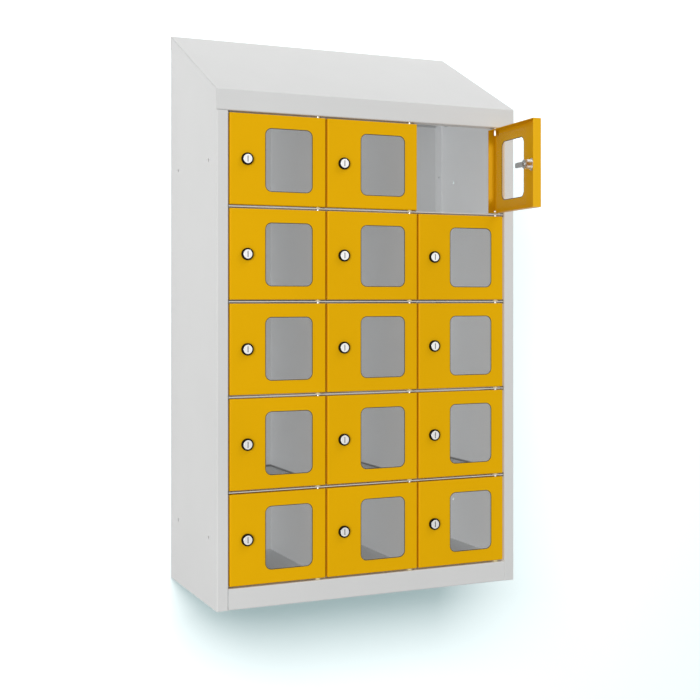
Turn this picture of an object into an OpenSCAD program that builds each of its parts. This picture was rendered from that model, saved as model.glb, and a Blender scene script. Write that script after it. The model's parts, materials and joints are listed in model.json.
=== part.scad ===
// Wall-hung phone locker: a sheet-steel carcass with a sloping hood, fifteen glazed pan doors on
// pivot pins, and a cam lock in each door. The top right door stands open.
// Everything is drawn from the left front bottom corner: x to the right, y into the cabinet, z up.
// One shift at the end puts the origin at the centre of the wall fixings, on the back face.

/* [Cabinet] */
// Width over the side panels
body_w = 540; // [480:1:640]
// Depth from the front face to the wall
body_d = 262; // [220:1:340]
// Height of the base, up to the floor of the lowest compartments
base_h = 33.8; // [26:0.1:60]
// Height of the fascia above the doors
fascia_h = 33; // [26:0.1:50]
// Rise of the sloping hood from its front fold to the wall
roof_rise = 133; // [90:1:180]
// Width of the front flange of a side panel
flange_w = 19; // [16:0.5:28]
// Width of the flanges that are turned in behind and below
turn_in = 14; // [10:0.5:18]

/* [Grid of compartments] */
// Height from one shelf to the next
row_pitch = 150.2; // [140:0.1:200]
// Gap between doors of neighbouring rows, with the shelf edge in it
row_gap = 5.8; // [5.4:0.1:8]
// Gap between doors of neighbouring columns
col_gap = 3.7; // [3.6:0.1:6]
// Gap between a door and the side panel's flange
side_gap = 2.8; // [2.5:0.1:5]
// Headroom from the hood's front fold up to the ceiling of the top row
ceiling_rise = 15; // [12:0.5:30]

/* [Sheet metal] */
// Thickness of the carcass sheets
sheet_t = 1.2; // [0.8:0.1:1.4]
// Thickness of the shelves
shelf_t = 0.8; // [0.6:0.1:1.1]
// Thickness of the door sheet
door_t = 1; // [0.8:0.1:1.4]
// Inside radius of the folds in the carcass
bend_r = 0.8; // [0.4:0.1:1.2]
// Width of the open seam between the hood and the side panels
seam = 0.6; // [0.2:0.1:0.8]
// Width of the flat hem under a shelf's front edge
hem_w = 12; // [10.5:0.5:20]
// Height of the flanges turned down from a shelf
shelf_flange = 10; // [6:0.5:14]

/* [Doors] */
// Depth of a door pan, from its face to the back of its flanges
door_d = 15.5; // [15:0.1:18]
// Outside radius of the folds round a door's face
door_edge_r = 2.2; // [1.9:0.1:3]
// Distance from the window to the door's top and bottom edges
window_margin = 21.4; // [18:0.1:36]
// Corner radius of the window
window_r = 11; // [4:0.5:20]
// Distance from the window to the door's hinge edge
window_edge = 23; // [21:0.5:28]
// Distance from the window to the lock's axis
window_to_lock = 30.5; // [26:0.5:48]
// Angle at which the top right door stands open
open_angle = 85.6; // [0:0.1:110]

/* [Panes] */
// Thickness of the clear pane
pane_t = 3; // [2:0.1:3.6]
// Width of the pane's border behind the door sheet
pane_border = 13.5; // [6:0.5:14]

/* [Hinge pins] */
// Radius of a pivot pin
pin_r = 2.5; // [1.5:0.1:2.8]
// Length of a pin above the line between two rows
pin_up = 7; // [5:0.5:10]
// Length of a pin below the line between two rows
pin_down = 13.5; // [8:0.5:20]
// Distance from the pin's axis to the door's hinge edge
pivot_edge = 11; // [10.6:0.1:12]
// Depth of the pin's axis behind the door's face
pivot_d = 7.5; // [7.2:0.1:8]
// Radius of the plastic washer under a door
washer_r = 4.5; // [3.8:0.1:5]

/* [Locks] */
// Distance from the lock's axis to the door's free edge
lock_edge = 28; // [24:0.5:34]
// Diameter of the collar on the door's face
collar_d = 19.5; // [18.5:0.1:24]
// Height of the collar above the door's face
collar_h = 4.5; // [3:0.1:6]
// Diameter of the plug's face
plug_d = 14.8; // [13.8:0.1:16]
// Diameter of the threaded barrel
barrel_d = 16; // [15:0.1:17]
// Distance across the barrel's two flats
barrel_flats = 14.2; // [13.6:0.1:14.8]
// Distance across the flats of the lock's nut
nut_af = 18.5; // [18:0.1:20]
// Thickness of the nut
nut_t = 3.5; // [2:0.1:5]
// Radius of the plug's stem, which turns in the barrel
stem_r = 6; // [5.5:0.05:6.4]
// Thickness of the cam
cam_t = 1.6; // [1.2:0.1:2]
// Width of the cam at its tip
cam_w = 9; // [7:0.5:11]
// Distance that the locked cam reaches past the door's free edge
cam_past = 3.3; // [3:0.1:3.4]

/* [Fixings] */
// Radius of the holes for the wall screws
wall_hole_r = 4.25; // [2.5:0.05:6]
// Radius of the holes that bolt two cabinets side by side
side_hole_r = 3; // [2:0.1:5]
// Distance from the front face to the front side holes
side_hole_front = 43; // [30:1:60]
// Distance from the wall to the rear side holes
side_hole_back = 48; // [30:1:80]
// Radius of a rivet's shank
rivet_r = 1.6; // [1:0.1:2]
// Rivets down each edge of the back panel
rivet_count = 6; // [3:1:9]

/* [Hidden] */
rows = 5;
cols = 3;
col_names = ["a", "b", "c"];
function door_id(c, r) = str(col_names[c - 1], r);

GREY = [0.82, 0.83, 0.83];
YELLOW = [0.87, 0.66, 0.01];
STEEL = [0.75, 0.76, 0.78];
CLEAR = [0.85, 0.9, 0.92, 0.35];

// Clearances
seat = 0.1;        // between sheets that are fastened to each other
slip = 0.3;        // between a moving piece and the one beside it
running_fit = 0.05;  // on the radius of a pin or a plug
latch_gap = 0.55;  // from a divider to the free edge of the door beside it
solid_gap = 0.05;  // between the separate solids of a lock

// Steps in the arc of a fold, and in a quarter of a rounded window
fold_steps = 4;
corner_steps = 8;

// The grid
door_w = (body_w - 2 * flange_w - 2 * side_gap - (cols - 1) * col_gap) / cols;
door_h = row_pitch - row_gap;
window_w = door_w - window_edge - window_to_lock - lock_edge;
window_h = door_h - 2 * window_margin;
opening_top = base_h + rows * row_pitch;
front_h = opening_top + fascia_h;
rear_h = front_h + roof_rise;
slope = roof_rise / body_d;
slope_angle = atan(slope);
fix_z = base_h + rows * row_pitch / 2;
function door_x(c) = flange_w + side_gap + (c - 1) * (door_w + col_gap);
function row_z(r) = base_h + (rows - r) * row_pitch;
function mid_z(r) = row_z(r) + row_pitch / 2;
function divider_x(c) = door_x(c + 1) - latch_gap - sheet_t;

// Depths behind the front face
post_d = door_d - slip;
shelf_front = 1.5;
divider_front = 10.5;
stop_y = door_d + slip;
cam_y = door_d + 0.4;
back_inner = body_d - sheet_t;
flange_inner = back_inner - sheet_t;
halving_y = body_d / 2;
behind_post = post_d + 2 * slip;

// Heights under the hood
function hood_under(y) = front_h + slope * y - sheet_t / cos(slope_angle);
ceiling_top = front_h + ceiling_rise;
rear_flange_h = 25;
rear_flange_z = rear_h - rear_flange_h;

// The lock
cam_reach = lock_edge + cam_past;
cam_hub_r = 7.5;
slot_clear = 0.7;
slot_half = sqrt(pow(cam_reach, 2) - pow(lock_edge + latch_gap, 2)) + slot_clear;
bore_r = stem_r + running_fit;
plug_face = -collar_h - 0.2;
plug_head_t = 2.6;
barrel_end = cam_y - slip - 1.6;
square_w = 7;
screw_r = 2;
screw_head_r = 4;
screw_head_t = 1.7;
keyway_h = 9.8;
keyway_w = 2.2;
keyway_d = 8;

// Stops, ears and small parts
stop_out = 4.5;
stop_d = 3;
stop_h = 10;
stop_inset = 8;
ear_x = 2 * sheet_t + bend_r + seat;
hem_start = 4;
rivet_head_r = 2.8;
washer_clear = 0.4;
past = 1;

// Heading of a vector in degrees, and its left-hand normal
function heading(v) = atan2(v.y, v.x);
function left_of(a) = [-sin(a), cos(a)];

// One face of a folded sheet. The path runs along the sheet's left face, t is the thickness to its
// right, r the inside radius of every fold, and off is 0 for the left face or t for the right one.
function fold_face(path, t, r, off) = let (last = len(path) - 1) concat(
    [path[0] - off * left_of(heading(path[1] - path[0]))],
    [for (i = [1:last - 1])
        let (
            a_in = heading(path[i] - path[i - 1]),
            turn_raw = heading(path[i + 1] - path[i]) - a_in,
            turn = turn_raw > 180 ? turn_raw - 360 : turn_raw < -180 ? turn_raw + 360 : turn_raw,
            rc = turn > 0 ? r : -(r + t),
            start = path[i] - abs(rc) * tan(abs(turn) / 2) * [cos(a_in), sin(a_in)],
            centre = start + rc * left_of(a_in)
        )
        for (k = [0:fold_steps]) centre - (rc + off) * left_of(a_in + turn * k / fold_steps)],
    [path[last] - off * left_of(heading(path[last] - path[last - 1]))]
);
function reversed(list) = [for (i = [len(list) - 1:-1:0]) list[i]];
module folded(path, t = sheet_t, r = bend_r)
    polygon(concat(fold_face(path, t, r, 0), reversed(fold_face(path, t, r, t))));

// An outline in y and z drawn out along x, and one in x and z drawn out along y
module along_x(x0, x1) translate([x0, 0, 0]) rotate([90, 0, 90]) linear_extrude(x1 - x0) children();
module along_y(y0, y1) translate([0, y1, 0]) rotate([90, 0, 0]) linear_extrude(y1 - y0) children();

function arc(centre, r, a0, a1, steps) =
    [for (k = [0:steps]) let (a = a0 + (a1 - a0) * k / steps) centre + r * [cos(a), sin(a)]];
function round_rect(x, y, w, h, r) = concat(
    arc([x + w - r, y + r], r, -90, 0, corner_steps),
    arc([x + w - r, y + h - r], r, 0, 90, corner_steps),
    arc([x + r, y + h - r], r, 90, 180, corner_steps),
    arc([x + r, y + r], r, 180, 270, corner_steps)
);

// Moves the finished piece from the corner to the wall fixings
module placed() translate([-body_w / 2, -body_d, -fix_z]) children();

// Puts a piece of the top right door at its open angle
module swung(c, r) {
    open = c == cols && r == 1 ? open_angle : 0;
    pivot = [door_x(c) + door_w - pivot_edge, pivot_d, 0];
    translate(pivot) rotate([0, 0, open]) translate(-pivot) children();
}

module box(x0, x1, y0, y1, z0, z1) translate([x0, y0, z0]) cube([x1 - x0, y1 - y0, z1 - z0]);

// A round bar or hole along y
module bar_y(r, y0, y1, facets = 48)
    translate([0, y1, 0]) rotate([90, 0, 0]) cylinder(r = r, h = y1 - y0, $fn = facets);

module pin_holes(z0, z1, r = pin_r + running_fit)
    for (c = [1:cols])
        translate([door_x(c) + door_w - pivot_edge, pivot_d, z0]) cylinder(r = r, h = z1 - z0, $fn = 48);

// The two heights in each row at which a closed door comes to rest against a stop
module at_stops()
    for (r = [1:rows], z = [stop_inset, row_pitch - stop_inset - stop_h])
        translate([0, 0, row_z(r) + z]) linear_extrude(stop_h) children();

// Ears on both ends of a floor, which close the hollow of the post and the corner at the back
module ears(z, inner, t)
    for (side = [0, 1]) translate([side * body_w, 0, 0]) mirror([side, 0, 0]) {
        box(ear_x, flange_w - sheet_t - slip, sheet_t + bend_r + seat, behind_post + past, z, z + t);
        box(ear_x, inner + past, flange_inner - turn_in - past, flange_inner - seat, z, z + t);
    }

// Outline of a side panel seen from the side, under the hood and behind its fascia
module side_outline() {
    behind = sheet_t + 2 * seam;
    corner = 2 * bend_r + seat;
    polygon([
        [0, 0], [0, opening_top - slip], [behind, opening_top - slip],
        [behind, hood_under(behind) - seam], [back_inner - corner, hood_under(back_inner - corner) - seam],
        [back_inner, hood_under(back_inner) - corner], [back_inner, 0]
    ]);
}

// A side panel: front flange, post, web and rear flange from one folded sheet
module side_sheet(hemmed) {
    lift = hood_under(0) - seat;
    strip_t = sheet_t / cos(slope_angle);
    difference() {
        union() {
            intersection() {
                linear_extrude(rear_h)
                    folded([[flange_w, post_d], [flange_w, 0], [0, 0], [0, back_inner], [turn_in, back_inner]]);
                along_x(-past, flange_w + past) side_outline();
            }
            box(sheet_t / 2, turn_in, sheet_t, body_d - 2 * turn_in, 0, sheet_t);
            along_x(sheet_t / 2, turn_in) polygon([
                [2 * turn_in, lift + slope * 2 * turn_in],
                [body_d - 2 * turn_in, lift + slope * (body_d - 2 * turn_in)],
                [body_d - 2 * turn_in, lift + slope * (body_d - 2 * turn_in) - strip_t],
                [2 * turn_in, lift + slope * 2 * turn_in - strip_t]
            ]);
            if (hemmed) {
                post_hem();
                at_stops() folded([
                    [flange_w - sheet_t, post_d / 2], [flange_w - sheet_t, stop_y + sheet_t],
                    [door_x(1) + stop_out / 2, stop_y + sheet_t]
                ]);
            }
        }
        box(sheet_t, flange_w + past, -past, post_d + past, opening_top - slip, rear_h);
        for (z = [mid_z(1), mid_z(rows)], y = [side_hole_front, body_d - side_hole_back])
            translate([-past, y, z]) rotate([0, 90, 0]) cylinder(r = side_hole_r, h = sheet_t + 2 * past, $fn = 36);
        rivet_row(turn_in / 2) bar_y(rivet_r + solid_gap, flange_inner - past, body_d + past, 24);
    }
}

// The left post is hemmed back on itself, because the cams of the first column bear on its edge,
// and has tabs turned out of it, against which the doors of that column close
module post_hem()
    translate([0, 0, base_h + slip]) linear_extrude(opening_top - base_h - 2 * slip) {
        translate([flange_w - sheet_t / 2, hem_start]) square([1.5 * sheet_t, post_d - sheet_t - hem_start]);
        translate([flange_w, post_d - sheet_t]) circle(r = sheet_t, $fn = 32);
    }

module left_side() placed() color(GREY) side_sheet(true);
module right_side() placed() color(GREY) translate([body_w, 0, 0]) mirror([1, 0, 0]) side_sheet(false);

// Places a piece at each rivet of one edge of the back panel
module rivet_row(x) {
    low = 2 * turn_in;
    step = (rear_flange_z - 2 * low) / (rivet_count - 1);
    for (i = [0:rivet_count - 1]) translate([x, 0, low + i * step]) children();
}

module both_rivet_rows() {
    rivet_row(turn_in / 2) children();
    rivet_row(body_w - turn_in / 2) children();
}

// A flush rivet: its cone sits in the back panel, and its tail is closed on the side panel's flange
module rivet(grow = 0, tail = true)
    translate([0, body_d, 0]) rotate([90, 0, 0]) rotate_extrude($fn = 32) polygon(concat(
        [[0, 0], [rivet_head_r + grow, 0], [rivet_r + grow, sheet_t]],
        tail
            ? [[rivet_r, 2 * sheet_t + solid_gap], [1.6 * rivet_r, 2 * sheet_t + solid_gap],
               [1.4 * rivet_r, 3 * sheet_t], [0, 3 * sheet_t]]
            : [[0, sheet_t]]
    ));

module rivets() placed() color(STEEL) both_rivet_rows() rivet();

module back_panel() placed() color(GREY) {
    edge = sheet_t + bend_r;
    difference() {
        along_x(edge, body_w - edge)
            folded([[body_d - turn_in, rear_flange_z - slip], [body_d, rear_flange_z - slip], [body_d, slip]]);
        for (c = [1, cols], r = [1, rows])
            translate([door_x(c) + door_w / 2, 0, mid_z(r)])
                bar_y(wall_hole_r, back_inner - past, body_d + past);
        both_rivet_rows() rivet(solid_gap, false);
        for (x = [0, body_w - 2 * turn_in])
            box(x, x + 2 * turn_in, 0, back_inner, rear_flange_z - 2 * turn_in, rear_flange_z);
    }
}

// The base: a shallow inverted tray whose front is the lower fascia and whose top is a floor
module base_panel() placed() color(GREY) {
    rear = flange_inner - seat;
    difference() {
        union() {
            along_x(flange_w + seat, body_w - flange_w - seat)
                folded([[turn_in, 0], [0, 0], [0, base_h], [rear, base_h], [rear, base_h - turn_in]]);
            for (side = [0, 1]) translate([side * body_w, 0, 0]) mirror([side, 0, 0])
                along_y(behind_post, rear - turn_in) folded([
                    [sheet_t + seat, base_h - turn_in], [sheet_t + seat, base_h], [flange_w + past, base_h]
                ]);
            ears(base_h - sheet_t, flange_w, sheet_t);
        }
        pin_holes(base_h - sheet_t - past, base_h + past);
    }
}

// The hood: lip, fascia, slope and rear flange from one folded sheet over the full width
module hood() placed() color(GREY) difference() {
    along_x(0, body_w) folded([
        [behind_post + hem_start, opening_top], [0, opening_top], [0, front_h],
        [body_d, rear_h], [body_d, rear_flange_z]
    ]);
    for (x = [-past, body_w - flange_w - sheet_t - slip])
        box(x, x + flange_w + sheet_t + slip + past, sheet_t, body_d / 2, 0, opening_top + sheet_t + bend_r + past);
    pin_holes(opening_top - past, opening_top + sheet_t + past);
}

// The ceiling of the top row, with a front lip that follows the underside of the hood
module ceiling_panel() placed() color(GREY) {
    lip_y = behind_post + hem_start;
    meet_y = (ceiling_top - hood_under(0) + seat) / slope;
    rear = flange_inner - seat;
    difference() {
        along_x(turn_in + slip, body_w - turn_in - slip) folded([
            [lip_y, hood_under(lip_y) - seat], [meet_y, ceiling_top],
            [rear, ceiling_top], [rear, ceiling_top - turn_in]
        ]);
        for (c = [1:cols - 1])
            box(divider_x(c) - slip, divider_x(c) + sheet_t + slip, rear - turn_in, rear + past,
                0, ceiling_top - sheet_t);
    }
    for (side = [0, 1]) translate([side * body_w, 0, 0]) mirror([side, 0, 0])
        along_y(meet_y + turn_in, rear - turn_in) folded([
            [sheet_t + seat, ceiling_top - turn_in], [sheet_t + seat, ceiling_top],
            [turn_in + 2 * slip, ceiling_top]
        ]);
}

// A divider is cut from the front to its middle where the shelves pass, and is slotted for the cams
// of the doors to its right, which close against the blocks welded to it
module divider(c) {
    rear = back_inner - seat;
    top = ceiling_top - sheet_t - seat;
    lip_y = behind_post + hem_start + slip;
    placed() color(GREY) {
        difference() {
            along_x(divider_x(c), divider_x(c) + sheet_t) polygon([
                [divider_front, base_h + seat], [divider_front, opening_top - slip],
                [lip_y, opening_top - slip], [lip_y, hood_under(lip_y) - 2 * sheet_t],
                [lip_y + turn_in, top], [rear, top], [rear, base_h + seat]
            ]);
            for (r = [1:rows - 1])
                box(0, body_w, 0, halving_y + seat, row_z(r) - shelf_t - seat, row_z(r) + shelf_t + seat);
            for (r = [1:rows])
                box(0, body_w, cam_y - slot_clear, cam_y + cam_t + slot_clear,
                    mid_z(r) - slot_half, mid_z(r) + cam_w / 2 + 2 * slot_clear);
        }
        at_stops() translate([divider_x(c) + sheet_t + seat, stop_y]) square([stop_out - seat, stop_d]);
    }
}

// A shelf: hemmed front edge between the posts, flanges turned down behind and at the sides
module shelf(r) {
    z = row_z(r);
    rear = back_inner - seat;
    fold_y = shelf_front + shelf_t;
    notch = flange_w + sheet_t + slip;
    placed() color(GREY) {
        difference() {
            union() {
                along_x(turn_in, body_w - turn_in) {
                    folded([[fold_y, z + shelf_t], [rear, z + shelf_t], [rear, z - shelf_flange]], shelf_t);
                    translate([fold_y, z]) circle(r = shelf_t, $fn = 32);
                    translate([fold_y, z - shelf_t]) square([hem_w - shelf_t, 1.5 * shelf_t]);
                }
                for (side = [0, 1]) translate([side * body_w, 0, 0]) mirror([side, 0, 0])
                    along_y(behind_post, rear - turn_in) folded([
                        [sheet_t + seat, z - shelf_flange], [sheet_t + seat, z + shelf_t],
                        [turn_in + past, z + shelf_t]
                    ], shelf_t);
            }
            for (x = [0, body_w - notch]) box(x, x + notch, 0, behind_post, z - shelf_flange - past, z + row_gap);
            for (c = [1:cols - 1])
                box(divider_x(c) - seat, divider_x(c) + sheet_t + seat, halving_y, body_d,
                    z - shelf_flange - past, z + row_gap);
            pin_holes(z - shelf_t - past, z + shelf_t + past);
        }
        ears(z, turn_in, shelf_t);
    }
}

// One pivot pin with rounded ends stands at the hinge side of each column, on each line between rows
module hinge_pins() placed() color(STEEL)
    for (c = [1:cols], r = [0:rows])
        translate([door_x(c) + door_w - pivot_edge, pivot_d, row_z(r) - pin_down])
            rotate_extrude($fn = 48) polygon(concat(
                [[0, 0]],
                arc([pin_r - 0.8, 0.8], 0.8, -90, 0, 3),
                arc([pin_r - 0.8, pin_down + pin_up - 0.8], 0.8, 0, 90, 3),
                [[0, pin_down + pin_up]]
            ));

// Each door turns on a washer that lies on its shelf, or on the base
module hinge_washers() placed() color([0.93, 0.93, 0.9])
    for (c = [1:cols], r = [1:rows]) {
        low = row_z(r) + (r == rows ? 0 : shelf_t);
        translate([door_x(c) + door_w - pivot_edge, pivot_d, low]) difference() {
            cylinder(r = washer_r, h = row_z(r) + row_gap / 2 - washer_clear - low, $fn = 48);
            translate([0, 0, -past]) cylinder(r = pin_r + running_fit, h = row_gap, $fn = 48);
        }
    }

// A pan open at the back: a face of w by h, rounded at its four front edges, d deep
module pan_block(w, h, d, r) intersection() {
    linear_extrude(h) polygon(concat([[w, d], [0, d]], arc([r, r], r, 180, 270, fold_steps),
                                     arc([w - r, r], r, 270, 360, fold_steps)));
    along_x(0, w) polygon(concat([[d, h], [d, 0]], arc([r, r], r, 270, 180, fold_steps),
                                 arc([r, h - r], r, 180, 90, fold_steps)));
}

// The lock's body: collar on the face, threaded barrel with two flats, and the bore for the plug
module lock_body() difference() {
    union() {
        rotate([90, 0, 0]) rotate_extrude($fn = 64) polygon(concat(
            [[0, solid_gap], [collar_d / 2, solid_gap]],
            arc([collar_d / 2 - 1.5, collar_h - 1.5], 1.5, 0, 90, 5),
            [[0, collar_h]]
        ));
        intersection() {
            bar_y(barrel_d / 2, -collar_h / 2, barrel_end);
            box(-barrel_flats / 2, barrel_flats / 2, -collar_h, barrel_end + past, -barrel_d, barrel_d);
        }
    }
    bar_y(bore_r, -collar_h - past, barrel_end + past);
    bar_y(plug_d / 2 + running_fit, -collar_h - past, plug_face + plug_head_t + running_fit);
}

module lock_nut() difference() {
    bar_y(nut_af / 2 / cos(30), door_t + solid_gap, door_t + nut_t, 6);
    bar_y(barrel_d / 2 + solid_gap, 0, door_t + nut_t + past);
}

// A door: folded pan with its window, and the lock's body and nut fixed in it
module door(c, r) {
    low = row_z(r) + row_gap / 2;
    lock_at = [door_x(c) + lock_edge, 0, mid_z(r)];
    window_x = door_w - window_edge - window_w;
    placed() swung(c, r) {
        color(YELLOW) translate([door_x(c), 0, low]) difference() {
            pan_block(door_w, door_h, door_d, door_edge_r);
            translate([door_t, door_t, door_t])
                pan_block(door_w - 2 * door_t, door_h - 2 * door_t, door_d, door_edge_r - door_t);
            along_y(-past, door_t + past)
                polygon(round_rect(window_x, (door_h - window_h) / 2, window_w, window_h, window_r));
            translate([lock_edge, 0, door_h / 2]) intersection() {
                bar_y(barrel_d / 2 + seat, -past, door_t + past);
                box(-barrel_flats / 2 - seat, barrel_flats / 2 + seat, -past, door_t + past, -barrel_d, barrel_d);
            }
            translate([door_w - pivot_edge, pivot_d, -past])
                cylinder(r = pin_r + running_fit, h = door_h + 2 * past, $fn = 48);
        }
        color([0.1, 0.1, 0.1]) translate(lock_at) lock_body();
        color(STEEL) translate(lock_at) lock_nut();
    }
}

// The clear pane lies against the inside of the door's face
module pane(c, r) {
    x = door_x(c) + door_w - window_edge - window_w - pane_border;
    w = window_w + 2 * pane_border;
    h = window_h + 2 * pane_border;
    placed() swung(c, r) color(CLEAR)
        along_y(door_t, door_t + pane_t) polygon(round_rect(x, mid_z(r) - h / 2, w, h, 2));
}

// The plug with its keyway, stem and square end
module plug() difference() {
    union() {
        rotate([90, 0, 0]) rotate_extrude($fn = 48) polygon(concat(
            [[0, -plug_face - plug_head_t], [plug_d / 2, -plug_face - plug_head_t]],
            arc([plug_d / 2 - 0.5, -plug_face - 0.5], 0.5, 0, 90, 3),
            [[0, -plug_face]]
        ));
        bar_y(stem_r, plug_face + plug_head_t / 2, cam_y);
        box(-square_w / 2, square_w / 2, cam_y - past, cam_y + cam_t, -square_w / 2, square_w / 2);
    }
    box(-keyway_w / 2, keyway_w / 2, plug_face - past, plug_face + keyway_d, -keyway_h / 2, keyway_h / 2);
    bar_y(screw_r, cam_y - 6, cam_y + cam_t + past, 24);
}

// The cam points to the hinge side when the lock is open. Half a turn, by way of below, takes it behind
// the post or the divider at the door's free edge.
module cam() along_y(cam_y + solid_gap, cam_y + cam_t - solid_gap) {
    tip = cam_reach - cam_w / 2;
    difference() {
        union() {
            circle(r = cam_hub_r, $fn = 48);
            polygon([[0, -cam_w / 2 - 1], [tip, -cam_w / 2], [tip, cam_w / 2], [0, cam_w / 2 + 1]]);
            translate([tip, 0]) circle(r = cam_w / 2, $fn = 36);
        }
        square(square_w + 2 * solid_gap, center = true);
    }
}

module cam_screw() {
    bar_y(screw_r - solid_gap, cam_y - 5, cam_y + cam_t + 2 * solid_gap, 24);
    difference() {
        translate([0, cam_y + cam_t + solid_gap, 0]) rotate([-90, 0, 0])
            cylinder(r1 = screw_head_r, r2 = screw_head_r - 0.6, h = screw_head_t, $fn = 36);
        for (turn = [0, 90]) rotate([0, turn, 0])
            box(-0.5, 0.5, cam_y + cam_t + 1, cam_y + cam_t + 3, -2.4, 2.4);
    }
}

// What turns with the key: plug, cam and the screw that holds the cam on
module lock(c, r) placed() swung(c, r)
    translate([door_x(c) + lock_edge, 0, mid_z(r)]) color(STEEL) {
        plug();
        cam();
        cam_screw();
    }

left_side();
right_side();
back_panel();
base_panel();
hood();
ceiling_panel();
for (c = [1:cols - 1]) divider(c);
for (r = [1:rows - 1]) shelf(r);
hinge_pins();
hinge_washers();
rivets();
for (r = [1:rows]) for (c = [1:cols]) door(c, r);
for (r = [1:rows]) for (c = [1:cols]) pane(c, r);
for (r = [1:rows]) for (c = [1:cols]) lock(c, r);
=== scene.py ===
"""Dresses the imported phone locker: folded doors, cam locks, clear panes, coatings, stage and camera.

It is laid out as an add-on and is run as a script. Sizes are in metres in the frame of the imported
model: +X to the right seen from the front, +Y into the wall, +Z up. A door and a lock are modelled
once, in the middle compartment, and copied to the others by each hinge's place and angle. The
carcass, pins, washers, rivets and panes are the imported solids, with new materials.
"""

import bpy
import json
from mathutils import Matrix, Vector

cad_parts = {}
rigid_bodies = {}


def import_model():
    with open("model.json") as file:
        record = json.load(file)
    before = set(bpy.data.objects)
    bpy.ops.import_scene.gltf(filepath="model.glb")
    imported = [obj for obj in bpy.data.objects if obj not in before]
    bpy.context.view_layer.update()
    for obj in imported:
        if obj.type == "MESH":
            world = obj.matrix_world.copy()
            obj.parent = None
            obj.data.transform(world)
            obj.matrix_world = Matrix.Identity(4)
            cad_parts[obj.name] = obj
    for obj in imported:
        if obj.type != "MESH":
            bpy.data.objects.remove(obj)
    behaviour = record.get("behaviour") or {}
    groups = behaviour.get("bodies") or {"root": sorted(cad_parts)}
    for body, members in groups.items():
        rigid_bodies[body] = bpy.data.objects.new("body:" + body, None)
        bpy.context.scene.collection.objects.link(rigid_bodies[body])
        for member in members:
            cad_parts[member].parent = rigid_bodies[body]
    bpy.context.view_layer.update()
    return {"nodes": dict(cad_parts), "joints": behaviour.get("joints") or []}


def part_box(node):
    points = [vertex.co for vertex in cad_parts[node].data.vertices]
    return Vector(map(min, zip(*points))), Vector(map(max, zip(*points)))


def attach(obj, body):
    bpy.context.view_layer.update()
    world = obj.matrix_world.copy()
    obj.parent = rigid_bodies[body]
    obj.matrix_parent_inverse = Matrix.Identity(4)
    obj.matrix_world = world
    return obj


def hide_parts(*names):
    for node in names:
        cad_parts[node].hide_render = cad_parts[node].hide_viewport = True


bl_info = {
    "name": "Phone locker",
    "version": (1, 0, 0),
    "blender": (4, 5, 0),
    "location": "3D View > Sidebar > Locker",
    "description": "Models the doors and locks of a phone locker, and coats and lights it",
    "category": "Object",
}

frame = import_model()

import json
import math
from contextlib import contextmanager

import bmesh
import bpy
from bpy.props import FloatProperty, FloatVectorProperty, IntProperty, PointerProperty
from mathutils import Matrix, Vector

MM = 0.001
MICRON = 1e-6
TINY = 0.01 * MM
OVERCUT = 1 * MM  # how far a cutter reaches past what it cuts
PATTERN = "b3"
CELLS = sorted(name[len("door_"):] for name in frame["nodes"] if name.startswith("door_"))
JOINTS = {joint["name"]: joint for joint in frame["joints"]}
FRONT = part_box("left_side")[0].y
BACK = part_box("back_panel")[1].y
DOOR_LOW, DOOR_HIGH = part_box(f"door_{PATTERN}")
LOCK_LOW, LOCK_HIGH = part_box(f"lock_{PATTERN}")
HINGE = Vector(JOINTS[f"door_{PATTERN}_hinge"]["pos_m"])
LOCK = Vector(JOINTS[f"lock_{PATTERN}_turn"]["pos_m"])
CAM_BACK = LOCK_HIGH.y - 1.8 * MM  # the cam's back face, under the head of its screw
CARCASS = (
    "left_side", "right_side", "back_panel", "base_panel", "hood", "ceiling_panel",
    "divider_1", "divider_2", "shelf_1", "shelf_2", "shelf_3", "shelf_4",
)
WALLS = ("left_side", "right_side", "back_panel", "divider_1", "divider_2")
HALF_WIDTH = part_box("right_side")[1].x
HALF_SHEET = 0.6 * MM  # from the carcass's outer face to the middle of its sheet
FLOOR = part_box("base_panel")[1].z
HOOD_LOW, HOOD_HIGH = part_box("hood")
FASCIA = 33 * MM  # the upright front of the hood
ROOF_EDGE = HOOD_LOW.z + FASCIA
ROOF_SLOPE = (HOOD_HIGH.z - ROOF_EDGE) / (HOOD_HIGH.y - FRONT)
ROW_PITCH = JOINTS["door_b2_hinge"]["pos_m"][2] - JOINTS["door_b3_hinge"]["pos_m"][2]
WALL_GAP = 1.5 * MM  # from the locker's back to the wall
TOUCHING = 6 * MM  # a ray that has come less far than this passes through the wall
FLOOR_DROP = 1.3  # how far the studio's floor is below the frame's origin
STUDIO = 12  # side of the wall and of the floor
AIM = Vector((0, -0.1, 0))  # the point that all lamps face
LAMPS = {  # each lamp's place, height and width
    "key": ((-5.35, -6.1, 0.4), 4.0, 4.0),
    "top": ((1.6, -0.9, 2.3), 1.6, 1.6),
    "fill": ((-6.5, -4.6, 0.0), 1.5, 1.5),
    "right_fill": ((-6.5, -4.6, 0.0), 1.5, 1.5),
    "right": ((2.5, -7.0, 0.3), 1.5, 1.5),
    "door": ((1.1, -5.2, 0.4), 1.2, 1.2),
    "inner": ((-6.0, -2.0, 0.4), 1.5, 1.5),
    "wall": ((-1.1, -3.0, 1.3), 1.6, 3.2),
}


# Settings

def length(name, description, millimetres):
    """A length that a user can change, given in millimetres and kept in metres."""
    return FloatProperty(
        name=name, description=description, default=millimetres * MM, min=0, precision=5,
        subtype="DISTANCE", unit="LENGTH",
    )


def tint(name, description, *rgb):
    """A colour that a user can change."""
    return FloatVectorProperty(
        name=name, description=description, default=rgb, min=0, max=1, size=3, subtype="COLOR"
    )


def power(name, description, watts):
    """The power of a lamp, which a user can change."""
    return FloatProperty(name=name, description=description, default=watts, min=0, unit="POWER")


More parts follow.
